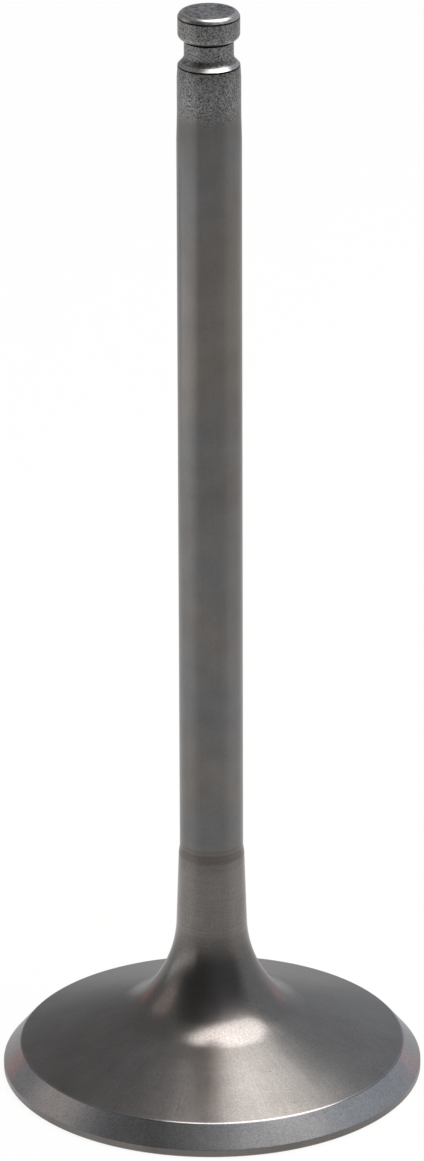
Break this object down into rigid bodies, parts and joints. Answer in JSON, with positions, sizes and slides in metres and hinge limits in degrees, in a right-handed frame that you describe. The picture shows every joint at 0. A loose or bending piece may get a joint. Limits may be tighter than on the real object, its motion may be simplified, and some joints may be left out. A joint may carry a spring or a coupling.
{
  "type": "engine valve",
  "caption": "Poppet valve with a wide tulip head, conical seat face, slim ground stem and a keeper groove at the tip.",
  "frame": {"origin": "centre of the flat combustion face, under the head", "axes": "+Z along the stem axis, from the combustion face to the tip"},
  "size_m": [0.0398, 0.0398, 0.1055],
  "materials": {
    "valve_steel": "satin"
  },
  "bodies": {
    "root": {"valve": "valve_steel"}
  },
  "joints": []
}
